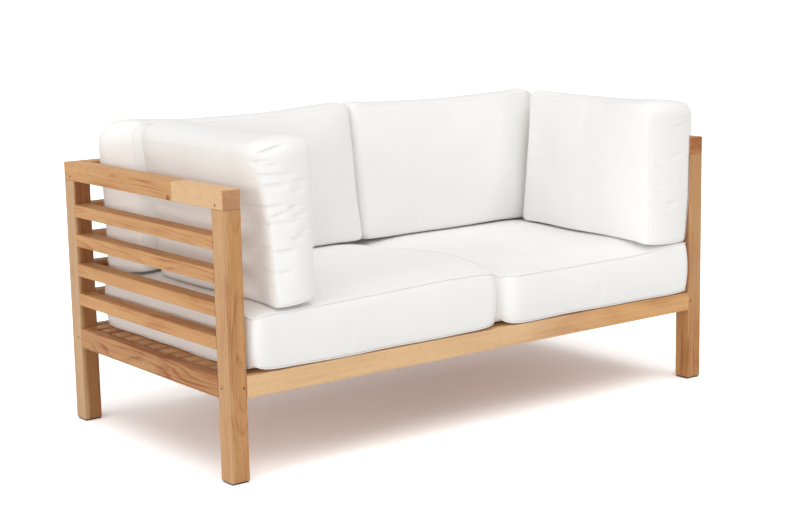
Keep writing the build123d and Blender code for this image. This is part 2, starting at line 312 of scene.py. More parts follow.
def knot_distance(tree, place, knot):
    """Distance from a knot, in its own radii: 1 at its edge."""
    middle, radius = knot
    offset = vectors(tree, "SUBTRACT", place, middle)["Vector"]
    return maths(tree, "MULTIPLY", vectors(tree, "LENGTH", offset)["Value"], 1 / radius)


def make_teak(name, axis, pith, look, teak, knot, sapwood_and_shade):
    """Sawn and sanded teak, oiled: growth rings cut lengthwise, open pores, a dull sheen.

    The rings are cylinders round a pith line that lies off the board, bent by slow noise, so
    faces cut across them show arches and faces along them show straight lines. Where there is a
    knot, the rings bend round it. Sapwood is paler wood past a place along one axis; on the
    posts the same paler share makes one face or part paler, and on two of them it sets off
    painted shade. Sawn ends are darker. The look is the board's tone and how lively its figure
    is; on two posts the tone holds painted shade.
    """
    tone, figure = look
    material, tree, shader = new_material(name)
    place = add(tree, "TexCoord").outputs["Object"]
    board = add(tree, "Mapping", {
        "Vector": place, "Rotation": GRAIN_TURN[axis], "Location": pith,
    }).outputs["Vector"]
    bend = noise(tree, board, RING_BENDS, 2.0)
    streak = noise(tree, board, STREAKS, 6.0, Roughness=0.65)
    patch = noise(tree, board, PATCHES, 4.0, Distortion=0.6)
    pore = noise(tree, board, (1 / teak.pore_length, PORES_ACROSS, PORES_ACROSS), 1.0)

    across = vectors(tree, "MULTIPLY", board, (0, 1, 1))["Vector"]
    ring = maths(tree, "MULTIPLY_ADD", bend, BEND_PUSH, vectors(tree, "LENGTH", across)["Value"])
    if knot is not None:
        near = knot_distance(tree, place, knot)
        push = mapped(tree, near, (0, KNOT_REACH), (KNOT_PUSH, 0), interpolation_type="SMOOTHSTEP")
        ring = maths(tree, "ADD", ring, push)
    band = maths(tree, "FRACT", maths(tree, "DIVIDE", ring, teak.ring_width))
    late = ramp(tree, band, [
        (0.0, grey(0.1)), (0.5, grey(0.3)), (0.84, grey(1.0)), (1.0, grey(0.1)),
    ])
    depth = maths(tree, "MULTIPLY", late, RING_SHARE)
    depth = maths(tree, "MULTIPLY_ADD", streak, STREAK_SHARE, depth)
    depth = maths(tree, "MULTIPLY_ADD", patch, PATCH_SHARE, depth)
    calm = MEAN_DEPTH * (1 - figure)
    depth = mapped(tree, depth, (0, 1), (calm, calm + figure), clamp=False)
    facing = add(tree, "NewGeometry").outputs["True Normal"]
    sawn = maths(tree, "POWER", add(tree, "SeparateXYZ", {"Vector": facing}).outputs[axis], 2.0)
    depth = maths(tree, "MULTIPLY_ADD", sawn, END_GRAIN_DEPTH, depth)
    if knot is not None:
        core = mapped(tree, near, KNOT_CORE, (KNOT_DEPTH, 0), interpolation_type="SMOOTHSTEP")
        depth = maths(tree, "ADD", depth, core)
    body = ramp(tree, depth, [
        (0.34, oiled(teak.pale, 1.08 * tone)), (0.50, oiled(teak.pale, 0.90 * tone)),
        (0.60, oiled(teak.dark, 1.25 * tone)), (0.78, oiled(teak.dark, 0.60 * tone)),
    ])
    # The paler share: sapwood, and on two posts the lighter part set against painted shade
    if sapwood_and_shade is not None:
        direction, start, end, amount = sapwood_and_shade
        spot = add(tree, "SeparateXYZ", {"Vector": place}).outputs[direction]
        edge = maths(tree, "MULTIPLY_ADD", patch, PALE_EDGE_WANDER, spot)
        mean = PALE_EDGE_WANDER / 2
        paler = mapped(tree, edge, (start + mean, end + mean), (0, amount))
        kept = maths(tree, "MULTIPLY_ADD", sawn, -END_GRAIN_LOSS, 1.0)
        body = mixed(tree, maths(tree, "MULTIPLY", paler, kept), body, teak.sap)
    opened = mapped(tree, pore, PORE_EDGE, (0, 1))
    pored = mixed(tree, maths(tree, "MULTIPLY", opened, PORE_SHARE), body, shaded(teak.dark, 0.45))
    relief = maths(tree, "MULTIPLY_ADD", opened, -PORE_CUT, streak)
    fill(tree, shader, {
        "Base Color": pored, "Roughness": mapped(tree, streak, (0, 1), WOOD_GLOSS),
        "Normal": bumps(tree, relief, 0.35, 0.6 * MM), "IOR": 1.5, "Specular IOR Level": 0.35,
    })
    return material


def make_end_grain(teak):
    """Teak end grain of the pins: dark, with pores as dots."""
    material, tree, shader = new_material("teak_end_grain")
    place = add(tree, "TexCoord").outputs["Object"]
    dots = add(tree, "TexVoronoi", {"Vector": place, "Scale": 1 / (1.4 * MM)})
    colour = ramp(tree, dots.outputs["Distance"], [
        (0.12, shaded(teak.dark, 0.3)), (0.4, shaded(teak.dark, 0.62)),
    ])
    fill(tree, shader, {"Base Color": colour, "Roughness": 0.7})
    return material


def fine_noise(tree, size, detail):
    """Noise over the piece with specks of a size in metres."""
    place = add(tree, "TexCoord").outputs["Object"]
    return add(tree, "TexNoise", {
        "Vector": place, "Scale": 1 / size, "Detail": detail,
    }).outputs["Fac"]


def make_glide_rubber():
    """Moulded black polyamide: dull, finely pitted by the mould."""
    material, tree, shader = new_material("moulded_black_polyamide")
    pits = fine_noise(tree, 0.8 * MM, 2.0)
    colour = ramp(tree, pits, [(0.3, linear("191818")), (0.7, linear("2A2928"))])
    fill(tree, shader, {
        "Base Color": colour, "Normal": bumps(tree, pits, 0.3, 0.2 * MM), "Roughness": 0.55,
    })
    return material


def make_steel():
    """Turned stainless steel screw heads: bright, with a soft, slightly uneven gloss."""
    material, tree, shader = new_material("turned_stainless_steel")
    gloss = mapped(tree, fine_noise(tree, 0.7 * MM, 1.0), (0, 1), (0.28, 0.42))
    fill(tree, shader, {"Base Color": (*linear("B9B8B4"), 1), "Roughness": gloss, "Metallic": 1.0})
    return material


# How much darker the gaps between threads and the soiled patches of the canvas are
THREAD_GAP = 0.97
SOILED = 0.985
# Sizes in metres of the yarn's thick places and of the soiled patches
SLUB_SIZE = 1 / 300
SOIL_SIZE = 1 / 7
SLUB_SHARE = 0.6


def make_canvas(canvas):
    """Plain-woven canvas: matt, with a fine grid of threads and a slight nap.

    The weave is the product of two sine waves. It is laid on from three sides, each as strong as
    the surface faces that side.
    """
    material, tree, shader = new_material("woven_canvas_off_white")
    place = add(tree, "TexCoord").outputs["Object"]
    apart = add(tree, "SeparateXYZ", {"Vector": place})
    facing = add(tree, "NewGeometry").outputs["Normal"]
    square = vectors(tree, "MULTIPLY", facing, facing)["Vector"]
    share = add(tree, "SeparateXYZ", {"Vector": square})
    waves = {
        direction: maths(tree, "SINE", maths(
            tree, "MULTIPLY", apart.outputs[direction], np.pi / canvas.thread,
        )) for direction in "XYZ"
    }
    weave = 0.0
    for side, one, other in ("XYZ", "YZX", "ZXY"):
        sheet = maths(tree, "MULTIPLY", waves[one], waves[other])
        weave = maths(tree, "MULTIPLY_ADD", sheet, share.outputs[side], weave)
    thread = mapped(tree, weave, (-1, 1), (THREAD_GAP, 1))
    tint = ramp(tree, fine_noise(tree, SOIL_SIZE, 3.0), [
        (0.35, shaded(canvas.colour, SOILED)), (0.65, canvas.colour),
    ])
    colour = add(tree, "VectorMath", {0: tint, "Scale": thread}, operation="SCALE")
    relief = maths(tree, "MULTIPLY_ADD", fine_noise(tree, SLUB_SIZE, 2.0), SLUB_SHARE, weave)
    fill(tree, shader, {
        "Base Color": colour.outputs[0], "Normal": bumps(tree, relief, 0.3, 0.25 * MM),
        "Roughness": 0.92, "Specular IOR Level": 0.25, "Sheen Weight": 0.1, "Sheen Roughness": 0.5,
    })
    return material


# Meshes

def new_piece(name, points, faces, material):
    """An object at the origin from an array of points and an array of faces."""
    mesh = bpy.data.meshes.new(name)
    mesh.from_pydata(points.tolist(), [], faces.tolist())
    mesh.materials.append(material)
    mesh.polygons.foreach_set("use_smooth", np.ones(len(mesh.polygons), bool))
    piece = bpy.data.objects.new(name, mesh)
    bpy.context.scene.collection.objects.link(piece)
    return piece


def read(items, field):
    """One row of three numbers for each point or normal of a mesh."""
    values = np.empty(len(items) * 3)
    items.foreach_get(field, values)
    return values.reshape(-1, 3)


def write_points(mesh, points):
    mesh.vertices.foreach_set("co", points.ravel())
    mesh.update()


def unit(arrows):
    return arrows / np.linalg.norm(arrows, axis=-1, keepdims=True)


def ring_faces(rings):
    """Faces between neighbouring rings of point numbers, each ring closed on itself."""
    after = np.roll(rings, -1, 1)
    return np.stack([rings[:-1], after[:-1], after[1:], rings[1:]], -1).reshape(-1, 4)


def tube(path, radius, sides):
    """Points and faces of a tube round a closed path.

    At each point of the path a circle stands square to it: the path plus the radius times the
    cosine of the angle along one normal and the sine along the other.
    """
    along = unit(np.roll(path, -1, 0) - np.roll(path, 1, 0))
    out = path - path.mean(0)
    out = unit(out - (out * along).sum(1, keepdims=True) * along)
    other = np.cross(along, out)
    angle = np.arange(sides) * 2 * np.pi / sides
    circle = np.cos(angle)[None, :, None] * out[:, None] + np.sin(angle)[None, :, None] * other[:, None]
    points = (path[:, None] + radius * circle).reshape(-1, 3)
    rings = np.arange(len(points)).reshape(-1, sides)
    return points, ring_faces(np.concatenate([rings, rings[:1]]))


# Cushions

class Form(NamedTuple):
    """How one kind of cushion is cut and filled, in metres.

    The border's height, how far the two panels crown, how far the sides draw in, how far the
    border swells and which share of that is left at the foot, how soon the crown rises, how far
    the seams close up in the corners, the welt's radius, the gathers and the size of the cells.
    """

    border: float
    over: float
    under: float
    sides_in: float
    low_in: float
    high_in: float
    swell: float
    low_swell_share: float
    edge: float
    droop: float
    welt: float
    pucker: float
    cells: tuple


SEAT_FORM = Form(
    border=136 * MM, over=11 * MM, under=4 * MM, sides_in=4 * MM, low_in=4 * MM, high_in=4 * MM,
    swell=8 * MM, low_swell_share=1.0, edge=26 * MM, droop=18 * MM, welt=1.4 * MM,
    pucker=0.35 * MM, cells=(11 * MM, 11 * MM),
)
BACK_FORM = Form(
    border=110 * MM, over=24 * MM, under=9 * MM, sides_in=6 * MM, low_in=1 * MM, high_in=15 * MM,
    swell=13 * MM, low_swell_share=0.5, edge=34 * MM, droop=10 * MM, welt=0.4 * MM,
    pucker=0.3 * MM, cells=(11 * MM, 11 * MM),
)
ARM_FORM = Form(
    border=118 * MM, over=22 * MM, under=12 * MM, sides_in=3 * MM, low_in=1 * MM, high_in=8 * MM,
    swell=11 * MM, low_swell_share=0.4, edge=34 * MM, droop=8 * MM, welt=0.4 * MM,
    pucker=0.3 * MM, cells=(9.5 * MM, 2.9 * MM),
)
# Power of the half sine wave that the border swells by: the lower, the fuller
ROLL_SHAPE = 0.72
# How much of a panel's crown rises near the seams, and how much is a slow dome
STEEP_SHARE = 0.7
DOME_SHARE = 0.3
CORNER_FALL = 28 * MM
FULL_DROOP_CORNER = 26 * MM
LEAST_CELLS = 8
LEAST_LAYERS = 4
# The gathers: lengths and sizes of their waves, what sets them apart, and how far in they reach
GATHERS = ((31 * MM, 1.0), (47 * MM, 0.8), (83 * MM, 0.7))
GATHER_SHIFT = 1.7
PUCKER_REACH = 20 * MM
# The lumps: height, and turns of their waves in radians a metre
LUMP = 1.6 * MM
SHORT_LUMPS = (23, 27)
LONG_LUMPS = (11, 13, 9)
# What the cloth is like. The points in the group named seams stay where they are.
CLOTH = {
    "quality": 4, "mass": 0.15, "tension_stiffness": 20, "compression_stiffness": 20,
    "shear_stiffness": 8, "bending_stiffness": 12, "vertex_group_mass": "seams",
}
STEPS_OF_FILLING = 20
WELT_SIDES = 8
NEXT_TO_NOTHING = 1e-9


class Net:
    """The sewn net of a boxed cushion, lying flat, with its under seam at Z zero.

    Each panel is a grid whose sides draw in between rounded corners, crowned by a rise that is
    steep near the seams and flat in the middle. The border is a strip of rings between the
    seams, swollen by a power of half a sine wave. Towards the corners the seams close up.
    """

    def __init__(self, width, height, form, corners):
        self.form = form
        self.corners = np.array(corners)
        self.half = np.array([width, height]) / 2
        self.columns, self.rows = (
            max(LEAST_CELLS, round(size / cell)) for size, cell in zip((width, height), form.cells)
        )
        self.layers = max(LEAST_LAYERS, round(form.border / form.cells[0]))
        u, v = np.meshgrid(
            np.linspace(-1, 1, self.columns + 1), np.linspace(-1, 1, self.rows + 1), indexing="ij"
        )
        flat = self.outline(u, v)
        rise = self.crown(u, v)
        radius = self.corner_radius(u, v)
        closing = form.droop * self.corner_share(u, v) * np.minimum(1, radius / FULL_DROOP_CORNER)
        high = form.border - closing / 2 + form.over * rise
        low = closing - form.under * rise
        top = np.concatenate([flat, high[..., None]], -1).reshape(-1, 3)
        bottom = np.concatenate([flat, low[..., None]], -1).reshape(-1, 3)
        self.count = len(top)
        self.ring = self.ring_order()
        upper, lower = top[self.ring], bottom[self.ring]
        tangent = unit(np.roll(upper, -1, 0)[:, :2] - np.roll(upper, 1, 0)[:, :2])
        outward = np.stack([tangent[:, 1], -tangent[:, 0], 0 * tangent[:, 0]], -1)
        less = 1 - (1 - form.low_swell_share) * np.maximum(0, -outward[:, 1:2])
        share = np.arange(1, self.layers)[:, None, None] / self.layers
        roll = np.sin(np.pi * share) ** ROLL_SHAPE
        walls = lower + share * (upper - lower) + outward * less * form.swell * roll
        self.points = np.concatenate([top, bottom, walls.reshape(-1, 3)])
        self.seams = (self.ring, self.ring + self.count)
        steps = np.linalg.norm(np.roll(upper, -1, 0) - upper, axis=1)
        self.run = np.concatenate([[0], np.cumsum(steps)])[:-1]
        self.make_faces()

    def outline(self, u, v):
        """Grid shares to flat places: sides drawn in by parabolas, corners made round."""
        form = self.form
        side_in = np.where(v > 0, form.high_in, form.low_in)
        x = u * (self.half[0] - form.sides_in * (1 - v ** 2))
        y = v * (self.half[1] - side_in * (1 - u ** 2))
        radius = self.corner_radius(u, v)
        over = np.stack([np.abs(x) - self.half[0] + radius, np.abs(y) - self.half[1] + radius])
        inside = (over > 0).all(0)
        length = np.where(inside, np.hypot(*over), 1)
        pull = np.where(inside, over.max(0) / length - 1, 0)
        return np.stack([x + np.sign(x) * over[0] * pull, y + np.sign(y) * over[1] * pull], -1)

    def corner_radius(self, u, v):
        return self.corners[(u > 0).astype(int), (v > 0).astype(int)]

    def crown(self, u, v):
        """Rise from 0 at the seams to 1: two exponentials from the edges, with a slow dome."""
        near = [1 - np.exp(-(1 - np.abs(s)) * half / self.form.edge) for s, half in zip((u, v), self.half)]
        return STEEP_SHARE * near[0] * near[1] + DOME_SHARE * (1 - u ** 2) * (1 - v ** 2)

    def corner_share(self, u, v):
        """1 in the corners, fading away from them along both sides."""
        gaps = [(1 - np.abs(s)) * half / CORNER_FALL for s, half in zip((u, v), self.half)]
        return np.exp(-np.hypot(*gaps))

    def ring_order(self):
        """Numbers of a panel's edge points, once round against the clock."""
        grid = np.arange((self.columns + 1) * (self.rows + 1)).reshape(self.columns + 1, self.rows + 1)
        return np.concatenate([grid[:-1, 0], grid[-1, :-1], grid[:0:-1, -1], grid[0, :0:-1]])

    def make_faces(self):
        grid = np.arange(self.count).reshape(self.columns + 1, self.rows + 1)
        quads = [grid[:-1, :-1], grid[1:, :-1], grid[1:, 1:], grid[:-1, 1:]]
        panel = np.stack(quads, -1).reshape(-1, 4)
        length = len(self.ring)
        rings = np.concatenate([
            self.seams[1][None],
            2 * self.count + np.arange((self.layers - 1) * length).reshape(-1, length),
            self.seams[0][None],
        ])
        self.faces = np.concatenate([panel, panel[:, ::-1] + self.count, ring_faces(rings)])

    def relief(self, seed):
        """How far each point stands in or out: gathers at the seams and lumps in the filling.

        The gathers are three sine waves of unlike lengths along the seam, fading away from it.
        The lumps are the product of two sine waves over each panel, and a longer wave across.
        """
        def ripple(along, shift):
            total = sum(size * np.sin(2 * np.pi * along / length + shift * number * GATHER_SHIFT)
                        for number, (length, size) in enumerate(GATHERS, 1))
            return total / sum(size for _, size in GATHERS)

        flat = self.points[:self.count, :2]
        gap = self.half - np.abs(flat)
        panel = ripple(flat[:, 0], seed) * np.exp(-gap[:, 1] / PUCKER_REACH) \
            + ripple(flat[:, 1], seed + 2) * np.exp(-gap[:, 0] / PUCKER_REACH)
        heights = np.linspace(0, self.form.border, self.layers + 1)[1:-1, None]
        wall = ripple(self.run[None], seed + 5) * (
            np.exp(-heights / PUCKER_REACH) + np.exp(-(self.form.border - heights) / PUCKER_REACH))
        gathers = self.form.pucker * np.concatenate([panel, panel, wall.ravel()])
        x, y = self.points[:, :2].T
        short = np.sin(x * SHORT_LUMPS[0] + seed) * np.sin(y * SHORT_LUMPS[1] + 2 * seed)
        return gathers + LUMP / 2 * (short + np.sin(self.points @ LONG_LUMPS + seed))


def blow_up(piece, net, settings):
    """Fills the cover: cloth under pressure from inside with its seams held, kept near its start."""
    held = piece.vertex_groups.new(name="seams")
    held.add([int(i) for i in np.concatenate(net.seams)], 1.0, "REPLACE")
    cloth = piece.modifiers.new("filling", "CLOTH")
    for name, value in CLOTH.items():
        setattr(cloth.settings, name, value)
    cloth.settings.use_pressure = True
    cloth.settings.uniform_pressure_force = settings.pressure
    cloth.settings.shrink_min = -settings.slack
    cloth.settings.effector_weights.gravity = 0
    cloth.collision_settings.use_collision = False
    cloth.point_cache.frame_start = 1
    cloth.point_cache.frame_end = STEPS_OF_FILLING
    scene = bpy.context.scene
    for number in range(1, STEPS_OF_FILLING + 1):
        scene.frame_set(number)
    shaped = piece.evaluated_get(bpy.context.evaluated_depsgraph_get())
    points = read(shaped.data.vertices, "co")
    piece.modifiers.remove(cloth)
    piece.vertex_groups.remove(held)
    scene.frame_set(1)
    move = points - net.points
    length = np.linalg.norm(move, axis=1, keepdims=True)
    return net.points + move * np.minimum(1, settings.travel / np.maximum(length, NEXT_TO_NOTHING))


def turned(points, lean, turn):
    """Stands a flat cushion on its lower edge, leans its top back and turns it about Z."""
    pose = Matrix.Rotation(turn, 3, "Z") @ Matrix.Rotation(np.pi / 2 - lean, 3, "X")
    return points @ np.array(pose).T


def between(low, high, value):
    """Smooth step from 0 to 1 as the value goes from low to high."""
    share = np.clip((value - low) / (high - low), 0, 1)
    return share * share * (3 - 2 * share)


def rest_on_seats(points):
    """Lifts what is lower than the seat cushions' tops to just above them."""
    low_ones = np.flatnonzero(points[:, 2] < SEAT_TOP + SEAT_SEARCH)
    for side in SIDES:
        tops = read(bpy.data.objects[f"seat_cushion_{side}"].data.vertices, "co")
        tops = tops[tops[:, 2] > SEAT_TOP - 2 * SEAT_SEARCH]
        apart = ((points[low_ones, None, :2] - tops[None, :, :2]) ** 2).sum(-1)
        nearest = apart.argmin(1)
        close = np.sqrt(apart.min(1)) < SEAT_SEARCH
        floor = np.where(close, tops[nearest, 2] + SEAT_GAP, -1)
        points[low_ones, 2] = np.maximum(points[low_ones, 2], floor)
    return points


def make_cushion(kind, side, seed):
    """Sews one cushion, fills it, puts it where its packed cover is and pipes its seams.

    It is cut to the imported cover's box, grown by a few millimetres at each side, and what
    passes the limits at a side is pressed flat, as where it leans on a neighbour.
    """
    name = f"{kind.BODY}_{side}"
    form, stand = kind.FORM, kind.STAND[side]
    box = np.array(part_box(f"{name}_cover"))
    low, high = box + MM * np.array(kind.GROW[side])
    if stand is None:
        width, height = high[0] - low[0], high[1] - low[1]
    else:
        width = (high - low)[1 if stand[1] else 0]
        height = STANDING_HEIGHT + (high - low - box[1] + box[0])[2]
    width -= 2 * form.swell
    height -= (1 + form.low_swell_share) * form.swell
    net = Net(width, height, form, kind.CORNERS[side])
    canvas = bpy.data.materials["woven_canvas_off_white"]
    piece = new_piece(name, net.points, net.faces, canvas)
    points = net.points
    points = blow_up(piece, net, bpy.context.scene.loveseat_cushions)
    write_points(piece.data, points)
    points = points + read(piece.data.vertex_normals, "vector") * net.relief(seed)[:, None]
    start = net.points
    if stand is not None:
        points, start = turned(points, *stand), turned(start, *stand)
    points = points + (low + high - start.min(0) - start.max(0)) / 2
    points = np.clip(points, *(box + MM * np.array(kind.LIMITS[side])))
    points = kind.settle(points, net, side)
    write_points(piece.data, points)
    smooth = piece.modifiers.new("smooth", "SUBSURF")
    smooth.levels = smooth.render_levels = 1
    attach(piece, name)
    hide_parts(f"{name}_cover", f"{name}_core")
    for label, seam in zip(("front", "rear"), net.seams):
        welt = new_piece(f"{name}_{label}_welt", *tube(points[seam], form.welt, WELT_SIDES), canvas)
        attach(welt, name)


def nodes_of(kind):
    return sorted(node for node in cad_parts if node.startswith(kind))


# Operators

# Where each lamp shines from, and how many degrees wide its source is
LAMPS = {
    "overhead": ((-0.05, -0.3, 1.0), 60), "key": ((-0.70, -0.25, 0.67), 40),
    "front": ((-0.60, -0.79, 0.17), 25), "side": ((-0.95, -0.24, 0.13), 22),
}
SENSOR_WIDTH = 36
FLOOR_REACH = 60
WHITE = (1, 1, 1, 1)


class LOVESEAT_OT_stage(bpy.types.Operator):
    """Set up the camera, the pale floor and the soft studio light"""

    bl_idname = "loveseat.stage"
    bl_label = "Set up the stage"

    def execute(self, context):
        scene = context.scene
        stage = scene.loveseat_stage
        scene.view_settings.view_transform = "Standard"
        self.make_camera(scene, stage)
        self.make_world(scene, stage)
        self.make_floor(stage)
        for name, (source, spread) in LAMPS.items():
            self.make_light(f"{name}_light", source, spread, getattr(stage, name))
        return {"FINISHED"}

    def make_camera(self, scene, stage):
        """Looking straight down, the camera is rolled, tilted up and then turned about Z."""
        data = bpy.data.cameras.new("camera")
        data.lens = stage.lens
        data.sensor_width = SENSOR_WIDTH
        camera = bpy.data.objects.new("camera", data)
        roll = Matrix.Rotation(stage.camera_roll, 4, "Z")
        tilt = Matrix.Rotation(np.pi / 2 + stage.camera_pitch, 4, "X")
        turn = Matrix.Rotation(-stage.camera_yaw, 4, "Z") @ tilt @ roll
        camera.matrix_world = Matrix.Translation(stage.camera_place) @ turn
        scene.collection.objects.link(camera)
        scene.camera = camera

    def make_world(self, scene, stage):
        """Even light, and plain white where the camera, gloss and glass see past the floor."""
        world = bpy.data.worlds.new("studio")
        world.use_nodes = True
        tree = world.node_tree
        tree.nodes.clear()
        light = add(tree, "Background", {"Color": WHITE, "Strength": stage.sky})
        white = add(tree, "Background", {"Color": WHITE, "Strength": 1.0})
        mix = add(tree, "MixShader", {
            0: seen_rays(tree), 1: light.outputs[0], 2: white.outputs[0],
        })
        add(tree, "OutputWorld", {"Surface": mix.outputs[0]})
        scene.world = world

    def make_floor(self, stage):
        """Smooth white studio paint that looks lit to white and keeps the shadows."""
        material, tree, shader = new_material("studio_paint")
        seen = seen_rays(tree)
        gain = maths(tree, "MULTIPLY_ADD", seen, stage.floor_gain - 1, 1.0)
        paint = add(tree, "VectorMath", {
            0: stage.floor_colour, "Scale": gain,
        }, operation="SCALE")
        fill(tree, shader, {
            "Base Color": paint.outputs[0], "Roughness": 0.9, "Specular IOR Level": 0.1,
        })
        lift = add(tree, "Emission", {"Color": (*stage.floor_lift, 1), "Strength": seen})
        both = add(tree, "AddShader", {0: shader.outputs[0], 1: lift.outputs[0]})
        output = next(node for node in tree.nodes if node.type == "OUTPUT_MATERIAL")
        tree.links.new(both.outputs[0], output.inputs["Surface"])
        corners = FLOOR_REACH * np.array([(-1, -1, 0), (1, -1, 0), (1, 1, 0), (-1, 1, 0)])
        floor = new_piece("floor", corners, np.array([(0, 1, 2, 3)]), material)

    def make_light(self, name, source, spread, strength):
        """Light from one direction all over the stage, its source so many degrees wide."""
        data = bpy.data.lights.new(name, "SUN")
        data.angle = np.radians(spread)
        data.energy = strength
        light = bpy.data.objects.new(name, data)
        light.rotation_euler = Vector(source).to_track_quat("Z", "Y").to_euler()
        bpy.context.scene.collection.objects.link(light)


def seen_rays(tree):
    """1 for rays that come from the camera, from gloss or through glass, else 0."""
    path = add(tree, "LightPath")
    gloss = maths(tree, "MAXIMUM", path.outputs["Is Camera Ray"], path.outputs["Is Glossy Ray"])
    return maths(tree, "MAXIMUM", gloss, path.outputs["Is Transmission Ray"])


# Which way the grain runs in each kind of board
BOARD_AXES = {
    "post": "Z", "arm_rail": "Y", "arm_slat": "Y", "back_top_rail": "X", "back_slat": "X",
    "seat_rail_front": "X", "seat_rail_rear": "X", "seat_rail_left": "Y", "seat_rail_right": "Y",
    "seat_bearer": "Y", "seat_cleat": "Y", "seat_slat": "X",
}
# The boards that show: tone and liveliness of the figure. The rear left post's low tone is
# painted shade on its front face, and the front right post's dark tone is painted shade on its
# foot, lifted above the seat rails.
BOARD_LOOKS = {
    "seat_rail_front": (0.98, 0.9), "seat_rail_left": (0.70, 1.1),
    "arm_slat_left_4": (0.88, 0.75), "arm_slat_left_3": (0.88, 0.8),
    "arm_slat_left_2": (0.88, 0.8), "arm_slat_left_1": (0.90, 0.8),
    "post_front_left": (0.76, 0.9), "post_rear_left": (0.51, 0.8),
    "arm_rail_left": (0.89, 0.6), "post_front_right": (0.72, 0.9),
}
USUAL_LOOKS = tuple((tone, 1.0) for tone in (0.9, 0.82, 0.95, 0.86, 0.78, 0.92))
# How far the edge of the paler wood wanders, also where it bounds painted shade on two posts
PALE_EDGE_WANDER = 30 * MM
# Paler wood: sapwood on the left arm rail and the front seat rail, a paler left face on the
# front left post, and painted shade on two posts: the rear left post's front face is painted
# shade with its left face kept paler, and the front right post is painted darker on its foot
# below the seat rails. The axis along which it comes, where it starts, where it is full and
# how full.
SAPWOOD_AND_PAINTED_SHADE = {
    "arm_rail_left": ("Y", -0.165, -0.171, 0.5), "seat_rail_front": ("X", 0.45, 0.1, 0.5),
    "post_front_left": ("X", -0.788, -0.795, 0.2), "post_rear_left": ("X", -0.788, -0.795, 0.4),
    "post_front_right": ("Z", 0.19, 0.29, 0.12),
}
# A knot's middle and radius
KNOTS = {"arm_rail_left": ((-0.8, -0.152, 0.661), 8 * MM)}
# How far beside its board a pith line runs, and how far on each next board is cut from the tree
PITH_OFFSET = 90 * MM
BOARD_STEP = 370 * MM
PITH_TURN = 2.4


def pith_place(node, axis, number):
    """Moves the pattern so that the pith line runs beside the board, each time another way."""
    low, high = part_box(node)
    turn = Euler(GRAIN_TURN[axis]).to_matrix()
    angle = PITH_TURN * number
    aside = Vector((BOARD_STEP * number, PITH_OFFSET * np.cos(angle), PITH_OFFSET * np.sin(angle)))
    return aside - turn @ ((low + high) / 2)


class LOVESEAT_OT_teak(bpy.types.Operator):
    """Give every board of the frame its own piece of teak"""

    bl_idname = "loveseat.teak"
    bl_label = "Finish the teak frame"

    def execute(self, context):
        teak = context.scene.loveseat_teak
        boards = [(node, axis) for kind, axis in BOARD_AXES.items() for node in nodes_of(kind)]
        for number, (node, axis) in enumerate(boards):
            look = BOARD_LOOKS.get(node, USUAL_LOOKS[number % len(USUAL_LOOKS)])
            pith = pith_place(node, axis, number)
            assign(node, make_teak(
                f"oiled_teak_{node}", axis, pith, look, teak, KNOTS.get(node), SAPWOOD_AND_PAINTED_SHADE.get(node),
            ))
        assign("tenon_pins", make_end_grain(teak))
        return {"FINISHED"}


def assign(node, material):
    """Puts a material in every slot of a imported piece."""
    for material_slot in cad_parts[node].material_slots:
        material_slot.link = "OBJECT"
        material_slot.material = material


class LOVESEAT_OT_glides(bpy.types.Operator):
    """Finish the black glides under the posts"""

    bl_idname = "loveseat.glides"
    bl_label = "Finish the glides"

    def execute(self, context):
        material = make_glide_rubber()
        for node in nodes_of("glide"):
            assign(node, material)
        return {"FINISHED"}


# Half a screw head's outline in mm from its middle: how far out and how high over the slat
SCREW_OUTLINE = ((0, -1.6), (0.9, -1.5), (1.7, 0.15), (3.9, 0.25), (4.3, 0.0), (4.3, -0.4))
SCREW_SIDES = 24
SCREW_FROM_END = 11 * MM


class LOVESEAT_OT_screws(bpy.types.Operator):
    """Drive the countersunk screws through the seat slats' ends into the cleats"""

    bl_idname = "loveseat.screws"
    bl_label = "Drive the screws"

    def execute(self, context):
        """Each head is its outline turned round Z: out times cosine and sine of the angle."""
        out, rise = MM * np.array(SCREW_OUTLINE).T[:, :, None]
        angle = np.arange(SCREW_SIDES) * 2 * np.pi / SCREW_SIDES
        head = np.stack([out * np.cos(angle), out * np.sin(angle), rise + 0 * angle], -1).reshape(-1, 3)
        faces = ring_faces(np.arange(len(head)).reshape(-1, SCREW_SIDES))[:, ::-1]
        places = []
        for node in nodes_of("seat_slat"):
            low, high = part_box(node)
            ends = (low[0] + SCREW_FROM_END, high[0] - SCREW_FROM_END)
            places += [(x, (low[1] + high[1]) / 2, high[2]) for x in ends]
        points = (np.array(places)[:, None] + head).reshape(-1, 3)
        every = (np.arange(len(places))[:, None, None] * len(head) + faces).reshape(-1, 4)
        piece = new_piece("seat_slat_screws", points, every, make_steel())
        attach(piece, "frame")
        return {"FINISHED"}


class LOVESEAT_OT_canvas(bpy.types.Operator):
    """Weave the canvas of the cushion covers"""

    bl_idname = "loveseat.canvas"
    bl_label = "Weave the canvas"

    def execute(self, context):
        make_canvas(context.scene.loveseat_canvas)
        return {"FINISHED"}


LEAN = np.radians(4)
# From the foot to the top of a back or arm cushion, along its lean
STANDING_HEIGHT = 404 * MM
# The seam between the left and right cushions, and how far beside it they follow its drift
SEAM_X = 30 * MM
DRIFT_REACH = 720 * MM
SEAT_TOP = 409 * MM
# How far round a point the seat's surface is looked for, and the gap that is left over it
SEAT_SEARCH = 24 * MM
SEAT_GAP = 1.2 * MM
# Corner radii of the panels
SEAT_CORNER = 30 * MM
ROUND_SEAT_CORNER = 75 * MM
SQUARE_CORNER = 8 * MM
SMALL_CORNER = 14 * MM
TIGHT_CORNER = 22 * MM
SOFT_CORNER = 36 * MM
BIG_CORNER = 56 * MM


def seam_drift(points, along, places, drifts):
    """Moves both neighbours' shared seam sideways, less and less towards their far ends."""
    weight = np.clip(1 - np.abs(points[:, 0] - SEAM_X) / DRIFT_REACH, 0, 1)
    points[:, 0] += weight * np.interp(points[:, along], places, drifts)
    return points


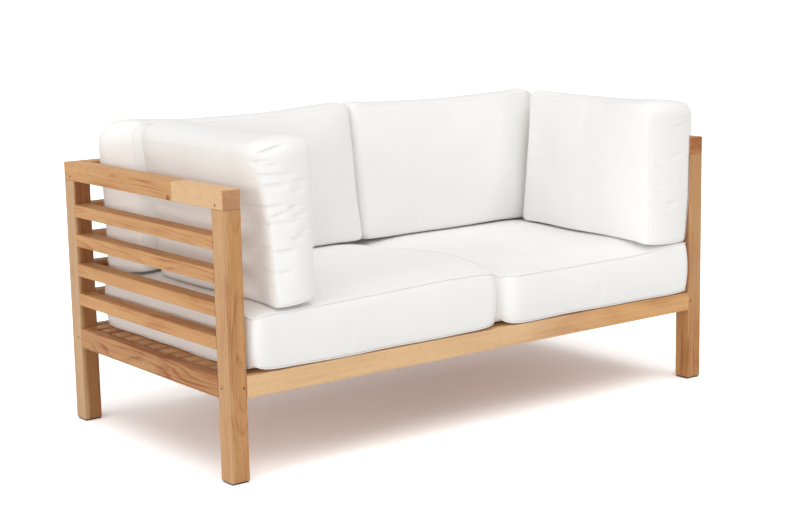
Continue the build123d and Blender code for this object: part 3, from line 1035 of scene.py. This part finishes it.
class LOVESEAT_OT_seat_cushions(bpy.types.Operator):
    """Sew and fill the two seat cushions"""

    bl_idname = "loveseat.seat_cushions"
    bl_label = "Sew the seat cushions"

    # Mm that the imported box's corners move by: for the cut, and for where it is pressed flat
    GROW = {"left": ((0, -9, 0), (7.5, 0, 0)), "right": ((-7.5, -10, 0), (2, 0, 0))}
    LIMITS = {"left": ((-1, -14, 0), (0.2, 0, 4)), "right": ((-0.2, -14, 0), (1.5, 0, 4))}
    BODY, FORM, STAND = "seat_cushion", SEAT_FORM, {"left": None, "right": None}
    SEEDS = (1, 4)
    CORNERS = {
        "left": ((SEAT_CORNER, SEAT_CORNER), (SEAT_CORNER, SEAT_CORNER)),
        "right": ((ROUND_SEAT_CORNER, SEAT_CORNER), (SQUARE_CORNER, SEAT_CORNER)),
    }

    def execute(self, context):
        for side, seed in zip(SIDES, self.SEEDS):
            make_cushion(self, side, seed)
        return {"FINISHED"}

    # What moves is above the first height, and all of it above the second
    TOP_PART = (0.28, 0.39)
    # The left one's broad swell, and its mound beside the seam: height, then from where to where
    SWELL = 12 * MM
    SWELL_ALONG = (-0.6, -0.1)
    SWELL_REAR = (-0.2, 0.1)
    MOUND = 19 * MM
    MOUND_WIDTH = 0.10
    MOUND_FRONT = (-0.41, -0.2)
    MOUND_REAR = (-0.05, 0.22)
    MOUND_REAR_LOSS = 0.85
    # The right one's sag beside the seam and its rise beside the arm
    SAG = -8 * MM
    SAG_FRONT = (-0.41, -0.22)
    SAG_ALONG = (SEAM_X, 0.12)
    RISE = 15 * MM
    RISE_ALONG = (0.50, 0.72)
    RISE_REAR = (-0.35, -0.05)
    # The seam's way to the right at three depths
    SEAM_DEPTHS = (-0.40, -0.20, 0.35)
    SEAM_DRIFTS = (2 * MM, 10 * MM, 26 * MM)

    @classmethod
    def settle(cls, points, net, side):
        """The seam runs to the right towards the rear, and the left cushion swells up beside it.

        The right one's front edge sags beside the seam and rises towards the arm. Each form is a
        height times smooth steps along X and Y, the mound's a bell curve along X.
        """
        x, y, z = points.T
        swell = cls.SWELL * between(*cls.SWELL_ALONG, x) * (1 - between(*cls.SWELL_REAR, y))
        mound = cls.MOUND * np.exp(-((x - SEAM_X) / cls.MOUND_WIDTH) ** 2) \
            * between(*cls.MOUND_FRONT, y) * (1 - cls.MOUND_REAR_LOSS * between(*cls.MOUND_REAR, y))
        sag = cls.SAG * (1 - between(*cls.SAG_FRONT, y)) * between(*cls.SAG_ALONG, x)
        rise = cls.RISE * between(*cls.RISE_ALONG, x) * (1 - between(*cls.RISE_REAR, y))
        points[:, 2] += between(*cls.TOP_PART, z) * np.where(x < SEAM_X, swell + mound, sag + rise)
        return seam_drift(points, 1, cls.SEAM_DEPTHS, cls.SEAM_DRIFTS)


class LOVESEAT_OT_back_cushions(bpy.types.Operator):
    """Sew and fill the two back cushions"""

    bl_idname = "loveseat.back_cushions"
    bl_label = "Sew the back cushions"

    GROW = {"left": ((-16, 0, 0), (8, 0, 6)), "right": ((-8, -4, 0), (5, 0, 6))}
    LIMITS = {"left": ((-20, -12, -2), (0.4, -1.6, 12)), "right": ((-0.4, -12, -2), (4, -1.6, 12))}
    BODY, FORM, STAND = "back_cushion", BACK_FORM, {"left": (LEAN, 0), "right": (LEAN, 0)}
    SEEDS = (8, 11)
    INNER = (SMALL_CORNER, TIGHT_CORNER)
    CORNERS = {"left": ((SMALL_CORNER, BIG_CORNER), INNER), "right": (INNER, (SMALL_CORNER, SOFT_CORNER))}

    def execute(self, context):
        for side, seed in zip(SIDES, self.SEEDS):
            make_cushion(self, side, seed)
        return {"FINISHED"}

    # Depths from the front part to the rear part
    FRONT_PART = (0.20, 0.30)
    # The fold's place along X at the floor and how it leans, its slope and its width
    FOLD_FOOT = 0.41
    FOLD_LEAN = 0.23
    FOLD_SLOPE = 0.12
    FOLD_WIDTH = 70 * MM
    # The far end: how far it swells forward and slants inwards, and from where to where
    END_SWELL = 18 * MM
    END_SWELL_ALONG = (-0.72, -0.50)
    END_SLANT = 46 * MM
    END_SLANT_ALONG = (-0.72, -0.60)
    END_SLANT_DEPTHS = (0.18, 0.35)
    # The seam's way to the right at its foot and top
    SEAM_HEIGHTS = (0.41, 0.80)
    SEAM_DRIFTS = (20 * MM, -2 * MM)

    @classmethod
    def settle(cls, points, net, side):
        """The seam between the two leans, further right below than above.

        Beside the right arm cushion, the right one's front turns away to the rear. The left one's
        far end swells forward to the arm cushion and slants inwards to it.
        """
        x, y, z = points.T
        front = 1 - between(*cls.FRONT_PART, y)
        fold = cls.FOLD_FOOT + cls.FOLD_LEAN * z
        points[:, 1] += cls.FOLD_SLOPE * front * np.clip(x - fold, 0, cls.FOLD_WIDTH)
        points[:, 1] -= cls.END_SWELL * front * (1 - between(*cls.END_SWELL_ALONG, x))
        slant = (1 - between(*cls.END_SLANT_DEPTHS, y)) * (1 - between(*cls.END_SLANT_ALONG, x))
        points[:, 0] += cls.END_SLANT * slant
        return rest_on_seats(seam_drift(points, 2, cls.SEAM_HEIGHTS, cls.SEAM_DRIFTS))


# Front end of the left arm cushion: the inner seam stands upright, the outer one flares upwards
LEFT_INNER = -548 * MM
LEFT_FLARE = ((411 * MM, 608 * MM, 779 * MM), (-656 * MM, -668 * MM, -704 * MM))
# Front end of the right arm cushion
RIGHT_INNER = 586 * MM
RIGHT_FLARE = ((406 * MM, 527 * MM, 790 * MM), (734 * MM, 747 * MM, 765 * MM))
FRONT_ENDS = {"left": (LEFT_INNER, LEFT_FLARE), "right": (RIGHT_INNER, RIGHT_FLARE)}
ARM_INNER_FACE = 749 * MM
RAIL_TOP = 705 * MM
POST_FRONT = -402.5 * MM
# Creases of the front borders in mm: from X and Z to X and Z, and depth
LEFT_CREASES = (
    (-702, 782, -631, 799, 3.0), (-720, 764, -680, 764, 3.4), (-690, 754, -650, 755, 1.6),
    (-708, 733, -611, 730, 2.4), (-607, 712, -570, 711, 1.8), (-686, 706, -625, 707, 2.6),
    (-608, 692, -588, 690, 1.2), (-745, 655, -655, 655, 3.6), (-665, 656, -632, 657, 1.6),
    (-622, 649, -595, 652, 2.0), (-668, 628, -625, 641, 2.2), (-605, 630, -575, 633, 1.6),
    (-692, 613, -665, 610, 2.4), (-660, 618, -600, 614, 2.2), (-596, 590, -572, 591, 1.4),
    (-612, 574, -586, 575, 1.8), (-722, 553, -667, 558, 3.4), (-658, 546, -604, 548, 2.8),
    (-704, 501, -660, 497, 2.8), (-651, 496, -617, 497, 1.8),
)
RIGHT_CREASES = (
    (660, 665, 710, 665, 1.8), (647, 530, 692, 530, 1.8), (622, 586, 642, 563, 1.2),
    (633, 501, 693, 480, 1.2), (668, 742, 716, 748, 1.3), (600, 640, 628, 630, 1.0),
)
CREASES = {"left": LEFT_CREASES, "right": RIGHT_CREASES}
# Height of a crease's overhanging edge, and how soon the shelf below it fades
CREASE_WIDTH = 5.0 * MM
CREASE_FALL = 11 * MM
# Slant on the outer face, where it starts behind the front, and where the creases end
CREASE_WRAP = 0.757
CREASE_WRAP_START = 12 * MM
CREASE_END = (100 * MM, 160 * MM)
CREASE_GAIN = 3.2
# Shares of a crease's length between which it deepens and fades
CREASE_DEEPENS = (-0.12, 0.3)
CREASE_FADES = (0.7, 1.12)
# The creases point towards a line this far behind the cushion's middle
CREASE_AIM = (0, 120 * MM, 0)
# From where to where the front end's shape fades out, and how much of it the outer face keeps
FRONT_END_FADE = (-0.36, -0.05)
OUTER_SHARE = 0.8


def reshape_front_end(points, net, side):
    """Brings the front end's two seams to their places, fading towards the rear."""
    target_inner, flare = FRONT_ENDS[side]
    x, y, z = points.T
    inner, outer = (np.polyval(np.polyfit(z[seam], x[seam], 1), z) for seam in net.seams)
    share = np.clip((x - inner) / (outer - inner), 0, 1)
    shift = (1 - share) * (target_inner - inner) + share * (np.interp(z, *flare) - outer)
    flared = np.maximum(1 - between(*FRONT_END_FADE, y), OUTER_SHARE * share)
    points[:, 0] += flared * shift
    return points


def crease(points, side):
    """Presses creases into the front end: cloth hangs over a shelf that fades away below it.

    Along the outer face they are measured on a slant, so that they run on round the seam.
    """
    front = points[:, 1].min()
    behind = np.maximum(0, points[:, 1] - front - CREASE_WRAP_START)
    along = points[:, 0] + OUTWARD[side] * CREASE_WRAP * behind
    depth = np.zeros(len(points))
    for x0, z0, x1, z1, deep in CREASES[side]:
        share = (along / MM - x0) / (x1 - x0)
        off = points[:, 2] - MM * (z0 + np.clip(share, 0, 1) * (z1 - z0))
        taper = between(*CREASE_DEEPENS, share) * (1 - between(*CREASE_FADES, share))
        shelf = (1 - between(-CREASE_WIDTH / 2, CREASE_WIDTH / 2, off)) \
            * np.exp(np.minimum(0, off) / CREASE_FALL)
        depth += CREASE_GAIN * deep * MM * taper * shelf
    inward = unit((points.mean(0) + CREASE_AIM - points) * (1, 1, 0))
    near = 1 - between(*CREASE_END, points[:, 1] - front)
    return points + inward * (depth * near)[:, None]


class LOVESEAT_OT_arm_cushions(bpy.types.Operator):
    """Sew and fill the two arm cushions"""

    bl_idname = "loveseat.arm_cushions"
    bl_label = "Sew the arm cushions"

    GROW = {"left": ((0, -13, 0), (0, 22, 4)), "right": ((0, -13, 0), (0, 42, 4))}
    LIMITS = {"left": ((-14, -16, -2), (12, 24, 10)), "right": ((-12, -16, -2), (14, 43, 10))}
    BODY, FORM = "arm_cushion", ARM_FORM
    STAND = {"left": (LEAN, np.pi / 2), "right": (LEAN, -np.pi / 2)}
    SEEDS = (15, 18)
    REAR = (SMALL_CORNER, TIGHT_CORNER)
    FRONT = (SMALL_CORNER, SOFT_CORNER)
    CORNERS = {"left": (FRONT, REAR), "right": (REAR, FRONT)}

    # How far the front end's foot sinks, and from where to where
    FOOT_SINKS = 7 * MM
    FOOT_DEPTHS = (-0.41, -0.33)
    FOOT_HEIGHTS = (0.41, 0.50)
    # How far the right one's rear end leans inwards at its foot, what its top adds, and where
    REAR_SHIFT = 27 * MM
    REAR_SHIFT_ABOVE = 12 * MM
    REAR_HEIGHTS = (0.42, 0.80)
    REAR_DEPTHS = (-0.10, 0.15)
    REAR_ALONG = (0.60, 0.70)
    # Gaps to the rail and post that the outer face leans on, and how it swells past the post
    RAIL_GAP = 6 * MM
    POST_GAP = 2 * MM
    POST_SLOPE = 1.5
    POST_SWELL = 15 * MM

    def execute(self, context):
        for side, seed in zip(SIDES, self.SEEDS):
            make_cushion(self, side, seed)
        return {"FINISHED"}

    @classmethod
    def settle(cls, points, net, side):
        """The front end's foot sinks in, the right one's rear leans inwards, both lean outwards.

        Below the rail the outer face is pressed flat, and past the post it swells again.
        """
        points = crease(reshape_front_end(points, net, side), side)
        x, y, z = points.T
        z -= cls.FOOT_SINKS * (1 - between(*cls.FOOT_DEPTHS, y)) * (1 - between(*cls.FOOT_HEIGHTS, z))
        if side == "right":
            shift = cls.REAR_SHIFT + cls.REAR_SHIFT_ABOVE * between(*cls.REAR_HEIGHTS, z)
            x += shift * between(*cls.REAR_DEPTHS, y) * (1 - between(*cls.REAR_ALONG, x))
        out = OUTWARD[side] * x
        past_post = np.clip(cls.POST_SLOPE * (POST_FRONT - cls.POST_GAP - y), 0, cls.POST_SWELL)
        most = np.where(z < RAIL_TOP + cls.RAIL_GAP, ARM_INNER_FACE + past_post, out)
        points[:, 0] = OUTWARD[side] * np.minimum(out, most)
        return rest_on_seats(points)


class LOVESEAT_PT_panel(bpy.types.Panel):
    """The steps that dress the loveseat, in order"""

    bl_idname = "LOVESEAT_PT_panel"
    bl_label = "Patio loveseat"
    bl_space_type = "VIEW_3D"
    bl_region_type = "UI"
    bl_category = "Loveseat"

    def draw(self, context):
        for step in STEPS:
            self.layout.operator(step.bl_idname)


STEPS = (
    LOVESEAT_OT_stage, LOVESEAT_OT_teak, LOVESEAT_OT_glides, LOVESEAT_OT_screws,
    LOVESEAT_OT_canvas, LOVESEAT_OT_seat_cushions, LOVESEAT_OT_back_cushions,
    LOVESEAT_OT_arm_cushions,
)
SETTINGS = {
    "loveseat_stage": StageSettings, "loveseat_teak": TeakSettings,
    "loveseat_canvas": CanvasSettings, "loveseat_cushions": CushionSettings,
}


def register():
    for kind in (*SETTINGS.values(), *STEPS, LOVESEAT_PT_panel):
        bpy.utils.register_class(kind)
    for name, kind in SETTINGS.items():
        setattr(bpy.types.Scene, name, bpy.props.PointerProperty(type=kind))


def unregister():
    for name in SETTINGS:
        delattr(bpy.types.Scene, name)
    for kind in (LOVESEAT_PT_panel, *reversed(STEPS), *reversed(tuple(SETTINGS.values()))):
        bpy.utils.unregister_class(kind)


def main():
    """Dresses the loveseat step by step."""
    register()
    bpy.ops.loveseat.stage()
    bpy.ops.loveseat.teak()
    bpy.ops.loveseat.glides()
    bpy.ops.loveseat.screws()
    bpy.ops.loveseat.canvas()
    bpy.ops.loveseat.seat_cushions()
    bpy.ops.loveseat.back_cushions()
    bpy.ops.loveseat.arm_cushions()


if __name__ == "__main__":
    main()
